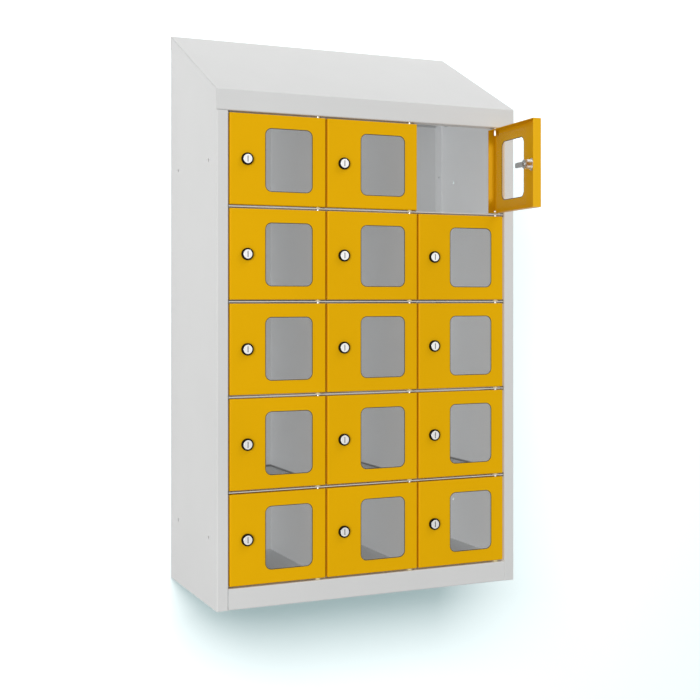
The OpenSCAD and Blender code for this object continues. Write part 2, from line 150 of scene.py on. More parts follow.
class DoorSettings(bpy.types.PropertyGroup):
    """Sizes of a folded door."""

    sheet: length("Sheet", "Thickness of the door's sheet", 1)
    depth: length("Depth", "From the face to the back of the flanges", 15.5)
    fold_radius: length("Fold radius", "Outside radius of the folds round the face", 2.2)
    fold_steps: IntProperty(name="Fold steps", description="Facets in a fold", default=5, min=2)
    window_width: length("Window width", "Width of the window", 81.5)
    window_height: length("Window height", "Height of the window", 101.6)
    window_radius: length("Window radius", "Corner radius of the window", 11)
    # The window lip is a painted shade: a thin dark strip along the window's cut edge.
    window_lip: length("Window lip", "Width of the dark lip round the window", 1.1)
    window_edge: length("Window edge", "From the window to the door's hinge edge", 23)
    pin_hole: length("Pin hole", "Radius of the holes for the pivot pins", 2.6)
    cut_edge: length("Cut edge", "Softening of the sheet's cut edges", 0.15)


class LockSettings(bpy.types.PropertyGroup):
    """Sizes of a cam lock."""

    collar: length("Collar", "Radius of the collar on the door's face", 9.75)
    collar_height: length("Collar height", "Height of the collar above the face", 4.5)
    collar_edge: length("Collar edge", "Radius of the collar's rounded edge", 1.3)
    plug: length("Plug", "Radius of the plug's face", 7.35)
    stem: length("Stem", "Radius of the plug's stem, which turns in the barrel", 6)
    square: length("Square", "Half the side of the square that carries the cam", 3.5)
    keyway_height: length("Keyway height", "Height of the key's slot", 9.8)
    keyway_width: length("Keyway width", "Width of the key's slot", 1.3)
    keyway_depth: length("Keyway depth", "Depth of the key's slot", 7)
    barrel: length("Barrel", "Radius over the barrel's thread", 7.9)
    barrel_flats: length("Barrel flats", "Distance across the barrel's flats", 14.2)
    thread_pitch: length("Thread pitch", "Distance between the barrel's threads", 1)
    thread_depth: length("Thread depth", "Depth of the barrel's threads", 0.5)
    nut_flats: length("Nut", "Distance across the nut's flats", 18.4)
    nut_thickness: length("Nut thickness", "Thickness of the nut", 3.4)
    cam_thickness: length("Cam thickness", "Thickness of the cam", 1.5)
    cam_width: length("Cam width", "Width of the cam's tip", 9)
    cam_hub: length("Cam hub", "Radius of the cam's hub", 7.4)
    screw_head: length("Screw head", "Radius of the cam screw's head", 3.9)


class CoatSettings(bpy.types.PropertyGroup):
    """Colours of the coatings and metals."""

    carcass: tint("Carcass", "Powder coat on the outside of the carcass", 0.73, 0.735, 0.73)
    # Painted light: the compartments get a lighter coat than the outside, which stands in for light that
    # reaches them.
    inside: tint("Inside", "Lighter powder coat of the compartments", 0.885, 0.90, 0.91)
    door: tint("Doors", "Powder coat of the doors", 0.86, 0.46, 0.001)
    collar: tint("Collars", "Black finish of the lock collars", 0.005, 0.004, 0.003)
    # Painted shade: the lips' dark colour stands for the shade along the windows' cut edges.
    lip: tint("Lips", "Dark lip round the windows", 0.05, 0.04, 0.02)
    bright: tint("Plugs", "Bright plating of the lock plugs", 0.94, 0.94, 0.93)
    zinc: tint("Zinc", "Zinc plating of pins, barrels, nuts and cams", 0.80, 0.81, 0.83)
    washer: tint("Washers", "Nylon of the hinge washers", 0.72, 0.66, 0.40)
    pane: tint("Panes", "Clear acrylic of the panes", 0.93, 0.95, 0.95)


class StageSettings(bpy.types.PropertyGroup):
    """Camera, lights and backdrop."""

    camera_place: FloatVectorProperty(
        name="Camera", description="Place of the camera", subtype="TRANSLATION",
        default=(-0.8586, -2.0825, 0.0789),
    )
    camera_turn: FloatProperty(
        name="Turn", description="How far the level camera is turned to the right",
        default=math.radians(24.15), subtype="ANGLE",
    )
    lens: FloatProperty(name="Lens", description="Focal length in millimetres", default=62.7)
    shift: FloatProperty(name="Shift", description="Vertical shift of the lens", default=-0.0725)
    world: FloatProperty(name="World", description="Light from all around", default=0.42)
    key: power("Key", "Power of the lamp on the left", 378)
    top: power("Top", "Power of the lamp above on the right", 24)
    fill: power("Fill", "Power of the lamp for the dividers and the back", 143)
    right_fill: power("Right fill", "Power of the lamp from the left for the right side panel", 185.9)
    right: power("Right", "Power of the lamp from the front for the right side panel", 100)
    door: power("Door", "Power of the lamp from the front for the open door", 98)
    inner: power("Inner", "Power of the lamp from the left for the open door", 68.6)
    wall: power("Wall", "Power of the lamp for the wall", 132)
    backdrop: tint("Backdrop", "Colour of the wall and floor as they light the locker", 0.42, 0.42, 0.42)
    seen: tint("Seen", "Half the brightness of the wall as the camera sees it", 0.52, 0.52, 0.52)
    shade: tint("Shade", "Light that the camera sees in the wall's shadows", 0.0, 0.11, 0.12)


# Modelling

def only(obj):
    """Selects one object and nothing else, and makes it the active one."""
    bpy.ops.object.select_all(action="DESELECT")
    obj.select_set(True)
    bpy.context.view_layer.objects.active = obj


def settle(name):
    """Names the primitive that was just added and puts its place, turn and size in its mesh."""
    obj = bpy.context.active_object
    obj.name = obj.data.name = name
    only(obj)
    bpy.ops.object.transform_apply(location=True, rotation=True, scale=True)
    return obj


def block(name, low, high):
    """A box between two corners."""
    low, high = Vector(low), Vector(high)
    bpy.ops.object.select_all(action="DESELECT")
    bpy.ops.mesh.primitive_cube_add(size=1, location=(low + high) / 2, scale=high - low)
    return settle(name)


def rod(name, radius, y0, y1, sides=48):
    """A cylinder on the lock's axis."""
    bpy.ops.object.select_all(action="DESELECT")
    bpy.ops.mesh.primitive_cylinder_add(
        vertices=sides, radius=radius, depth=y1 - y0, location=(LOCK.x, (y0 + y1) / 2, LOCK.z),
        rotation=(math.pi / 2, 0, 0),
    )
    return settle(name)


def turned(name, stations, sides=64):
    """A turned piece on the lock's axis: a disc, extruded and resized from one (radius, y) to the next."""
    (radius, y), rest = stations[0], stations[1:]
    bpy.ops.object.select_all(action="DESELECT")
    bpy.ops.mesh.primitive_circle_add(
        vertices=sides, radius=radius, fill_type="NGON", location=(LOCK.x, y, LOCK.z),
        rotation=(math.pi / 2, 0, 0),
    )
    obj = settle(name)
    with editing(obj):
        bpy.ops.mesh.select_all(action="SELECT")
        for next_radius, next_y in rest:
            bpy.ops.mesh.extrude_region_move(TRANSFORM_OT_translate={"value": (0, next_y - y, 0)})
            scale = next_radius / radius
            bpy.ops.transform.resize(value=(scale, 1, scale), center_override=(LOCK.x, next_y, LOCK.z))
            radius, y = next_radius, next_y
        outward()
    return obj


def outward():
    """Turns all faces of the mesh in edit mode outwards."""
    bpy.ops.mesh.select_all(action="SELECT")
    bpy.ops.mesh.normals_make_consistent(inside=False)


@contextmanager
def editing(obj):
    """Edit mode on one object, with nothing selected at the start."""
    only(obj)
    bpy.ops.object.mode_set(mode="EDIT")
    bpy.ops.mesh.select_all(action="DESELECT")
    yield
    bpy.ops.object.mode_set(mode="OBJECT")


def pick_faces(test):
    """Selects the faces of the mesh in edit mode that pass a test of their middle and normal."""
    bpy.ops.mesh.select_mode(type="FACE")
    mesh = bmesh.from_edit_mesh(bpy.context.edit_object.data)
    for face in mesh.faces:
        face.select_set(bool(test(face.calc_center_median(), face.normal)))


def pick_edges(test):
    """Selects the edges of the mesh in edit mode that pass a test of their middle and direction."""
    bpy.ops.mesh.select_mode(type="EDGE")
    mesh = bmesh.from_edit_mesh(bpy.context.edit_object.data)
    for edge in mesh.edges:
        start, end = (vert.co for vert in edge.verts)
        edge.select_set(bool(test((start + end) / 2, (end - start).normalized())))


def modified(obj, kind, **settings):
    """Adds a modifier, sets it and applies it."""
    only(obj)
    bpy.ops.object.modifier_add(type=kind)
    modifier = obj.modifiers[-1]
    for key, value in settings.items():
        setattr(modifier, key, value)
    bpy.ops.object.modifier_apply(modifier=modifier.name)
    return obj


def combined(obj, tool, operation="DIFFERENCE"):
    """Cuts a piece with another, joins it to it or keeps what they share, and removes the tool."""
    modified(obj, "BOOLEAN", object=tool, operation=operation, solver="EXACT")
    bpy.data.meshes.remove(tool.data)
    return obj


def softened(obj, width, steps=2, angle=40):
    """Bevels the sharp edges of a finished piece a little and shades its curves smooth and its flats flat."""
    modified(
        obj, "BEVEL", width=width, segments=steps, limit_method="ANGLE",
        angle_limit=math.radians(angle), harden_normals=False,
    )
    only(obj)
    bpy.ops.object.shade_smooth_by_angle(angle=math.radians(angle))
    return modified(obj, "WEIGHTED_NORMAL", weight=100, keep_sharp=True)


def finished(obj, material):
    """Gives a piece its one material."""
    obj.data.materials.clear()
    obj.data.materials.append(material)
    return obj


def joined(name, parts):
    """Joins parts into one piece, which keeps their materials."""
    bpy.ops.object.select_all(action="DESELECT")
    for part in parts:
        part.select_set(True)
    bpy.context.view_layer.objects.active = parts[0]
    bpy.ops.object.join()
    parts[0].name = parts[0].data.name = name
    return parts[0]


def opening(cell):
    """How far a door stands open in the frame."""
    return math.radians(-JOINTS[f"door_{cell}_hinge"]["range_deg"][0])


def cell_matrix(cell):
    """From the shut pattern door to a door's own place, turned as far as it stands open."""
    place = Matrix.Translation(JOINTS[f"door_{cell}_hinge"]["pos_m"])
    return place @ Matrix.Rotation(opening(cell), 4, "Z") @ Matrix.Translation(-HINGE)


def hand_out(pattern, kind):
    """Copies a finished pattern piece to every compartment, in place of its CAD node."""
    for cell in CELLS:
        only(pattern)
        bpy.ops.object.duplicate(linked=False)
        piece = bpy.context.active_object
        piece.name = piece.data.name = f"{kind}_piece_{cell}"
        piece.data.transform(cell_matrix(cell))
        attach(piece, f"{kind}_{cell}")
        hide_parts(f"{kind}_{cell}")
    bpy.data.meshes.remove(pattern.data)


# Shader maths

class Wire:
    """A socket of a material's nodes. Python's operators on it add Math nodes."""

    def __init__(self, finish, socket):
        self.finish, self.socket = finish, socket

    def math(self, operation, *others, clamp=False):
        """A Math node on this wire and up to two more values."""
        inputs = dict(enumerate((self, *others)))
        return self.finish.node("ShaderNodeMath", {"operation": operation, "use_clamp": clamp}, inputs)

    def __add__(self, other):
        return self.math("ADD", other)

    def __sub__(self, other):
        return self.math("SUBTRACT", other)

    def __mul__(self, other):
        return self.math("MULTIPLY", other)

    def __truediv__(self, other):
        return self.math("DIVIDE", other)

    def __pow__(self, other):
        return self.math("POWER", other)

    __radd__ = __add__
    __rmul__ = __mul__

    def span(self, low, high):
        """This wire brought from low..high to 0..1, held between them."""
        return ((self - low) / (high - low)).math("ADD", 0, clamp=True)


class Finish:
    """A node-based material under construction."""

    def __init__(self, name):
        self.material = bpy.data.materials.new(name)
        self.material.use_nodes = True
        self.tree = self.material.node_tree
        self.tree.nodes.clear()

    def node(self, kind, settings=None, inputs=None, output=0):
        """Adds a node, sets its properties, then its sockets by name or number, and returns an output."""
        made = self.tree.nodes.new(kind)
        for key, value in (settings or {}).items():
            setattr(made, key, value)
        for key, value in (inputs or {}).items():
            if isinstance(value, Wire):
                self.tree.links.new(value.socket, made.inputs[key])
            else:
                made.inputs[key].default_value = value
        return Wire(self, made.outputs[output])

    def place(self):
        """The point on the piece, in metres."""
        return self.node("ShaderNodeTexCoord", output="Object")

    def along(self, axis):
        """The point's distance along an axis: 0, 1 or 2 for X, Y or Z."""
        return self.node("ShaderNodeSeparateXYZ", inputs={0: self.place()}, output=axis)

    def noise(self, size, detail=2.0, roughness=0.5):
        """Noise with features of a given size in metres, about 0 to 1."""
        return self.node(
            "ShaderNodeTexNoise", {"noise_dimensions": "3D"},
            {"Vector": self.place(), "Scale": 1 / size, "Detail": detail, "Roughness": roughness},
        )

    def mix(self, factor, first, second):
        """A mix of two colours."""
        return self.node("ShaderNodeMix", {"data_type": "RGBA"}, {0: factor, 6: first, 7: second}, output=2)

    def bump(self, height, distance, normal=None):
        """A bump from a height of 0 to 1 that stands for a distance in metres."""
        inputs = {"Height": height, "Distance": distance, "Strength": 1.0}
        if normal:
            inputs["Normal"] = normal
        return self.node("ShaderNodeBump", inputs=inputs)

    def surface(self, **sockets):
        """Ends the material in a Principled shader, with underscores for the spaces in socket names."""
        named = {key.replace("_", " "): value for key, value in sockets.items()}
        return self.ends_in(self.node("ShaderNodeBsdfPrincipled", inputs=named))

    def ends_in(self, shader):
        """Links a shader to the output and returns the material."""
        output = self.tree.nodes.new("ShaderNodeOutputMaterial")
        self.tree.links.new(shader.socket, output.inputs["Surface"])
        return self.material


def solid(rgb, share=1.0):
    """A colour with its alpha, darkened or lightened when the share isn't 1."""
    return (*(min(1.0, value * share) for value in rgb), 1.0)


# Finishes

def powder_coat(name, rgb, gloss, shine, peel, tooth, inside=None, corners=False):
    """Baked powder on sheet: flow mottling, orange peel of a few millimetres and a fine tooth.

    What faces the compartments can have a lighter colour, a painted light that brightens them, and a painted
    shadow in the corners along the shelves.
    """
    # The first two bound the mottling; the third is the painted shadow's share of the inside colour near the
    # shelves.
    dark, light, corner_shadow_share = 0.965, 1.03, 0.28
    coat = Finish(name)
    clouds = coat.noise(160 * MM, detail=3)
    speckle = coat.noise(0.6 * MM, detail=1)
    shade = (clouds * 0.7 + speckle * 0.3).span(0.25, 0.75)
    colour = coat.mix(shade, solid(rgb, dark), solid(rgb, light))
    # Painted light: what faces the compartments takes the lighter inside colour instead of the outside's.
    if inside:
        inside_with_painted_light = coat.mix(shade, solid(inside, dark), solid(inside, light))
        # Painted shadow: darker near the shelves, where the gaps between the doors show the corners.
        if corners:
            inside_with_painted_light = coat.mix(shelf_corners(coat), inside_with_painted_light, solid(inside, corner_shadow_share))
        colour = coat.mix(in_compartments(coat), colour, inside_with_painted_light)
    ripple = coat.noise(2.6 * MM, detail=2.5, roughness=0.45)
    grain = coat.noise(0.5 * MM, detail=1)
    relief = coat.bump(ripple, peel, normal=coat.bump(grain, tooth))
    return coat.surface(
        Base_Color=colour, Roughness=gloss + 0.06 * (clouds - 0.5) + 0.05 * (grain - 0.5), Normal=relief,
        Specular_IOR_Level=shine,
    )


def in_compartments(coat):
    """1 on what faces the compartments, 0 on the outside of the carcass."""
    front_rim = 3 * MM
    x, y, z = (coat.along(axis) for axis in range(3))
    walls = x.math("ABSOLUTE").math("LESS_THAN", HALF_WIDTH - HALF_SHEET)
    front = y.math("GREATER_THAN", FRONT + front_rim)
    floor = z.math("GREATER_THAN", FLOOR - HALF_SHEET)
    roof = (z - y * ROOF_SLOPE).math("LESS_THAN", ROOF_EDGE - FRONT * ROOF_SLOPE - HALF_SHEET)
    return walls * front * floor * roof


def shelf_corners(coat):
    """A painted shadow that the gaps between the doors show: 1 close to a shelf, 0 further away.

    Rows are counted from the middle one, and a shelf is half a row from the middle of a compartment. Only
    the four shelves have it, and not the back panel's outer face.
    """
    starts, full, back_face = 5 * MM, 2.6 * MM, 0.5 * MM
    depth, height = coat.along(1), coat.along(2)
    row = (height - HINGE.z) / ROW_PITCH
    from_middle = (row - row.math("ROUND")).math("ABSOLUTE")
    near = from_middle.span(0.5 - starts / ROW_PITCH, 0.5 - full / ROW_PITCH)
    return near * row.math("ABSOLUTE").math("LESS_THAN", 2) * depth.math("LESS_THAN", BACK - back_face)


def black_chrome(rgb):
    """The collars: black plating, a little worn in places."""
    coat = Finish("black collar")
    worn = 2.2
    smear = coat.noise(4 * MM, detail=3)
    return coat.surface(
        Base_Color=coat.mix(smear.span(0.5, 0.8), solid(rgb), solid(rgb, worn)),
        Roughness=0.16 + 0.14 * smear, Normal=coat.bump(coat.noise(0.4 * MM), 2 * MICRON),
        Specular_IOR_Level=0.06,
    )


def bright_plating(rgb):
    """The plugs: polished plating over fine turning marks round the axis."""
    coat = Finish("bright plug")
    marks_to_a_metre = 9 / MM
    from_axis = coat.node("ShaderNodeAttribute", {"attribute_name": "turning"}, output="Fac")
    marks = coat.node(
        "ShaderNodeTexNoise", {"noise_dimensions": "1D"},
        {"W": from_axis, "Scale": marks_to_a_metre, "Detail": 3.0},
    )
    haze = coat.noise(3 * MM, detail=2)
    return coat.surface(
        Base_Color=coat.mix(haze, solid(rgb, 0.95), solid(rgb, 1.02)), Metallic=1.0,
        Roughness=0.2 + 0.12 * marks + 0.06 * haze, Normal=coat.bump(marks, 4 * MICRON),
    )


def zinc_plating(rgb, name="zinc"):
    """Zinc plating: a satin grain with faint blue and straw clouds from the passivation."""
    coat = Finish(name)
    clouds = coat.noise(5 * MM, detail=3)
    straw, blue = (rgb[0] * 1.03, rgb[1], rgb[2] * 0.93, 1), (rgb[0] * 0.95, rgb[1], rgb[2] * 1.04, 1)
    grain = coat.noise(0.3 * MM, detail=2)
    return coat.surface(
        Base_Color=coat.mix(clouds.span(0.3, 0.7), blue, straw), Metallic=1.0,
        Roughness=0.3 + 0.15 * grain, Normal=coat.bump(grain, 5 * MICRON),
    )


def nylon(rgb):
    """The washers: matt natural nylon with a faint mould texture."""
    coat = Finish("nylon")
    grain = coat.noise(0.5 * MM, detail=2)
    return coat.surface(
        Base_Color=coat.mix(grain, solid(rgb, 0.95), solid(rgb, 1.03)), Roughness=0.45 + 0.1 * grain,
        Normal=coat.bump(grain, 8 * MICRON),
    )


def rubber(rgb):
    """The windows' lips: a dull dark finish with a fine grain, a painted shade along the windows' cut edges.
    """
    coat = Finish("rubber")
    grain = coat.noise(0.6 * MM, detail=2)
    return coat.surface(
        Base_Color=coat.mix(grain, solid(rgb, 0.85), solid(rgb, 1.15)), Roughness=0.6 + 0.1 * grain,
        Normal=coat.bump(grain, 10 * MICRON),
    )


def clear_acrylic(rgb):
    """The panes: nearly clear, less so where seen at a slant, with faint wipe marks in the gloss."""
    coat = Finish("clear acrylic")
    wipes = coat.noise(30 * MM, detail=4)
    slant = coat.node("ShaderNodeLayerWeight", inputs={"Blend": 0.5}, output="Facing")
    return coat.surface(
        Base_Color=coat.mix(wipes, solid(rgb, 0.98), solid(rgb)), Roughness=0.03 + 0.05 * wipes,
        Alpha=0.006 + 0.3 * slant ** 5,
    )


# Operators

class LOCKER_OT_carcass(bpy.types.Operator):
    """Coats the folded sheets, and finishes the pins, washers and rivets"""

    bl_idname = "locker.carcass"
    bl_label = "Carcass"

    def execute(self, context):
        coats = context.scene.locker_coats
        # Both coats paint light into the compartments with the lighter inside colour.
        looks = dict(gloss=0.42, shine=0.24, peel=25 * MICRON, tooth=12 * MICRON, inside=coats.inside)
        grey = powder_coat("grey powder coat", coats.carcass, **looks)
        # The walls' coat also has a painted shadow along the shelves.
        walls_coat_with_painted_shadow = powder_coat("grey powder coat of the walls", coats.carcass, corners=True, **looks)
        zinc = zinc_plating(coats.zinc)
        for name in CARCASS:
            finished(frame["nodes"][name], walls_coat_with_painted_shadow if name in WALLS else grey)
        finished(frame["nodes"]["hinge_pins"], zinc)
        finished(frame["nodes"]["rivets"], grey)
        finished(frame["nodes"]["hinge_washers"], nylon(coats.washer))
        return {"FINISHED"}


class LOCKER_OT_doors(bpy.types.Operator):
    """Models a folded door with its window lip, lock body and nut, and hangs a copy in every compartment"""

    bl_idname = "locker.doors"
    bl_label = "Doors"

    def execute(self, context):
        scene = context.scene
        doors, locks, coats = scene.locker_doors, scene.locker_locks, scene.locker_coats
        yellow = powder_coat(
            "yellow powder coat", coats.door, gloss=0.36, shine=0.06, peel=18 * MICRON, tooth=4 * MICRON
        )
        bright = zinc_plating(coats.zinc, "lock barrel")
        parts = [
            finished(self.sheet(doors, locks), yellow),
            # The lip is a painted shade along the window's cut edge.
            finished(self.lip(doors), rubber(coats.lip)),
            finished(self.collar(locks), black_chrome(coats.collar)),
            finished(self.barrel(doors, locks), bright),
            finished(self.nut(doors, locks), bright),
        ]
        hand_out(joined("door_pattern", parts), "door")
        return {"FINISHED"}

    def sheet(self, doors, locks):
        """The pan: an open box with rounded folds, walled inwards, then cut for window, lock and pins."""
        low = Vector((DOOR_LOW.x, FRONT, DOOR_LOW.z))
        high = Vector((DOOR_HIGH.x, FRONT + doors.depth, DOOR_HIGH.z))
        pan = block("door_sheet", low, high)
        with editing(pan):
            pick_faces(lambda middle, normal: normal.y > 0.5)
            bpy.ops.mesh.delete(type="ONLY_FACE")
            pick_edges(lambda middle, direction: middle.y < FRONT + TINY)
            bpy.ops.mesh.bevel(offset=doors.fold_radius, segments=doors.fold_steps, affect="EDGES")
            outward()
        modified(pan, "SOLIDIFY", thickness=doors.sheet, offset=-1, use_even_offset=True)
        before, behind = FRONT - OVERCUT, FRONT + doors.sheet + 2 * OVERCUT
        combined(pan, self.window_block(doors, before, behind))
        lock_hole = rod("lock_hole", locks.barrel, FRONT - doors.sheet, FRONT + 2 * doors.sheet)
        flats = block(
            "lock_flats", (LOCK.x - locks.barrel_flats / 2, before, LOCK.z - locks.collar),
            (LOCK.x + locks.barrel_flats / 2, behind, LOCK.z + locks.collar),
        )
        combined(pan, combined(lock_hole, flats, "INTERSECT"))
        bpy.ops.object.select_all(action="DESELECT")
        bpy.ops.mesh.primitive_cylinder_add(
            vertices=32, radius=doors.pin_hole, depth=2 * (high.z - low.z), location=HINGE
        )
        combined(pan, settle("pin_holes"))
        return softened(pan, doors.cut_edge)

    @staticmethod
    def window_block(doors, y0, y1, inset=0):
        """A block with the window's rounded corners, between two depths, smaller all round by an inset."""
        right = DOOR_HIGH.x - doors.window_edge
        left = right - doors.window_width
        half = doors.window_height / 2 - inset
        window = block("window", (left + inset, y0, HINGE.z - half), (right - inset, y1, HINGE.z + half))
        with editing(window):
            pick_edges(lambda middle, direction: abs(direction.y) > 0.5)
            bpy.ops.mesh.bevel(offset=doors.window_radius - inset, segments=12, affect="EDGES")
        return window

    def lip(self, doors):
        """The thin dark lip round the window, inside its cut edge and in front of the pane: a painted shade
        along the edge.
        """
        sunk, off_pane, off_edge = 0.3 * MM, 0.05 * MM, 0.02 * MM
        front, back = FRONT + sunk, FRONT + doors.sheet - off_pane
        lip = self.window_block(doors, front, back, inset=off_edge)
        hole = self.window_block(doors, front - OVERCUT, back + OVERCUT, inset=doors.window_lip)
        return combined(lip, hole)

    @staticmethod
    def collar(locks):
        """The collar, turned with a rounded edge and a recess for the plug."""
        off_door, chamfer, recess, gap = 0.02 * MM, 0.3 * MM, 3 * MM, 0.15 * MM
        face = FRONT - locks.collar_height
        edge, steps = locks.collar_edge, 5
        rounding = [
            (locks.collar - edge * (1 - math.cos(turn)), face + edge * (1 - math.sin(turn)))
            for turn in (math.pi / 2 * step / steps for step in range(steps + 1))
        ]
        mouth = locks.plug + gap
        collar = turned("collar", [
            (locks.collar, FRONT - off_door), *rounding, (mouth + chamfer, face), (mouth, face + chamfer),
            (mouth, face + recess),
        ])
        return softened(collar, width=0.08 * MM, steps=1, angle=60)

    @staticmethod
    def barrel(doors, locks):
        """The threaded barrel with its two flats, open at the back for the plug's stem."""
        chamfer, bore_depth, gap = 0.3 * MM, 3 * MM, 0.05 * MM
        end = DOOR_HIGH.y
        start = FRONT + doors.sheet / 2
        root = locks.barrel - locks.thread_depth
        count = int((end - start) / locks.thread_pitch) - 1
        thread = [
            station for turn in range(count) for station in (
                (root, start + (turn + 0.5) * locks.thread_pitch),
                (locks.barrel, start + (turn + 1) * locks.thread_pitch),
            )
        ]
        bore = locks.stem + gap
        barrel = turned("barrel", [
            (locks.barrel, start), *thread, (root, end), (bore + chamfer, end), (bore, end - bore_depth),
        ])
        with editing(barrel):
            for side in (-1, 1):
                bpy.ops.mesh.select_all(action="SELECT")
                bpy.ops.mesh.bisect(
                    plane_co=(LOCK.x + side * locks.barrel_flats / 2, 0, 0), plane_no=(side, 0, 0),
                    use_fill=True, clear_outer=True,
                )
            outward()
        return softened(barrel, width=0.05 * MM, steps=1)

    @staticmethod
    def nut(doors, locks):
        """The hexagon nut behind the sheet: a chamfered disc cut to six flats, with its bore."""
        off_sheet, off_thread = 0.05 * MM, 0.08 * MM
        chamfer, chamfer_width = 0.6 * MM, 0.96 * MM
        front = FRONT + doors.sheet + off_sheet
        back = front + locks.nut_thickness
        corner = locks.nut_flats / 2 / math.cos(math.pi / 6)
        disc = turned("nut", [
            (corner - chamfer_width, front), (corner, front + chamfer),
            (corner, back - chamfer), (corner - chamfer_width, back),
        ])
        combined(disc, rod("nut_flats", corner, front - OVERCUT, back + OVERCUT, sides=6), "INTERSECT")
        combined(disc, rod("nut_bore", locks.barrel + off_thread, front - OVERCUT, back + OVERCUT))
        return softened(disc, width=0.08 * MM)


class LOCKER_OT_panes(bpy.types.Operator):
    """Makes the panes clear"""

    bl_idname = "locker.panes"
    bl_label = "Panes"

    def execute(self, context):
        acrylic = clear_acrylic(context.scene.locker_coats.pane)
        for cell in CELLS:
            finished(frame["nodes"][f"pane_{cell}"], acrylic)
        return {"FINISHED"}


class LOCKER_OT_locks(bpy.types.Operator):
    """Models the plug, the cam and its screw, which turn with the key, and puts a copy in every door"""

    bl_idname = "locker.locks"
    bl_label = "Locks"

    def execute(self, context):
        locks, coats = context.scene.locker_locks, context.scene.locker_coats
        darker = [0.5 * value for value in coats.zinc]
        parts = [
            finished(self.plug(locks), bright_plating(coats.bright)),
            finished(self.cam(locks), zinc_plating(coats.zinc, "cam zinc")),
            finished(self.screw(locks), zinc_plating(darker, "dark screw")),
        ]
        hand_out(joined("lock_pattern", parts), "lock")
        return {"FINISHED"}

    @staticmethod
    def plug(locks):
        """The plug: a face with a turned rim, its stem, and the keyway, a slot with softened corners."""
        edge, head, corner = 0.5 * MM, 2.5 * MM, 0.35 * MM
        face = LOCK_LOW.y
        rim = locks.plug
        plug = turned("plug", [
            (rim - edge, face), (rim - 0.3 * edge, face + 0.24 * edge), (rim, face + edge),
            (rim, face + head), (locks.stem, face + head), (locks.stem, CAM_BACK - locks.cam_thickness),
        ])
        half = locks.keyway_height / 2
        slot = block(
            "keyway", (LOCK.x - locks.keyway_width / 2, face - OVERCUT, LOCK.z - half),
            (LOCK.x + locks.keyway_width / 2, face + locks.keyway_depth, LOCK.z + half),
        )
        with editing(slot):
            pick_edges(lambda middle, direction: abs(direction.y) > 0.5)
            bpy.ops.mesh.bevel(offset=corner, segments=3, affect="EDGES")
        combined(plug, slot)
        softened(plug, width=0.07 * MM)
        distance = plug.data.attributes.new("turning", "FLOAT", "POINT")
        for vert, value in zip(plug.data.vertices, distance.data):
            value.value = math.hypot(vert.co.x - LOCK.x, vert.co.z - LOCK.z)
        return plug

    @staticmethod
    def cam(locks):
        """The cam: a strip with a round tip, joined to its hub, with the plug's square through its hole."""
        gap, stud_height = 0.04 * MM, 1.2 * MM
        back = CAM_BACK
        front = back - locks.cam_thickness
        half = locks.cam_width / 2
        strip = block("cam", (LOCK.x, front, LOCK.z - half), (LOCK_HIGH.x, back, LOCK.z + half))
        with editing(strip):
            pick_edges(lambda middle, direction: abs(direction.y) > 0.5 and middle.x > LOCK.x + half)
            # A little less than half, so that the two bevels don't meet
            bpy.ops.mesh.bevel(offset=0.999 * half, segments=12, affect="EDGES")
        combined(strip, rod("hub", locks.cam_hub, front, back), "UNION")
        square = locks.square
        combined(strip, block(
            "square", (LOCK.x - square, front - OVERCUT, LOCK.z - square),
            (LOCK.x + square, back + OVERCUT, LOCK.z + square),
        ))
        softened(strip, width=0.2 * MM)
        side = square - gap
        stud = block(
            "stud", (LOCK.x - side, front - stud_height, LOCK.z - side),
            (LOCK.x + side, back, LOCK.z + side),
        )
        return joined("cam", [strip, softened(stud, width=0.1 * MM)])

    @staticmethod
    def screw(locks):
        """The cam's screw: a domed head with a cross recess."""
        height, rim, cross_length, cross_width, cross_depth = 1.7 * MM, 0.5 * MM, 4.4 * MM, 0.9 * MM, 1.1 * MM
        head = locks.screw_head
        top = LOCK_HIGH.y
        seat = top - height
        dome = [
            (head * math.cos(turn), seat + rim + (height - rim) * math.sin(turn))
            for turn in map(math.radians, range(0, 71, 14))
        ]
        screw = turned("screw", [(head, seat), *dome], sides=40)
        for wide, high in ((cross_length / 2, cross_width / 2), (cross_width / 2, cross_length / 2)):
            combined(screw, block(
                "cross", (LOCK.x - wide, top - cross_depth, LOCK.z - high),
                (LOCK.x + wide, top + OVERCUT, LOCK.z + high),
            ))
        return softened(screw, width=0.06 * MM)


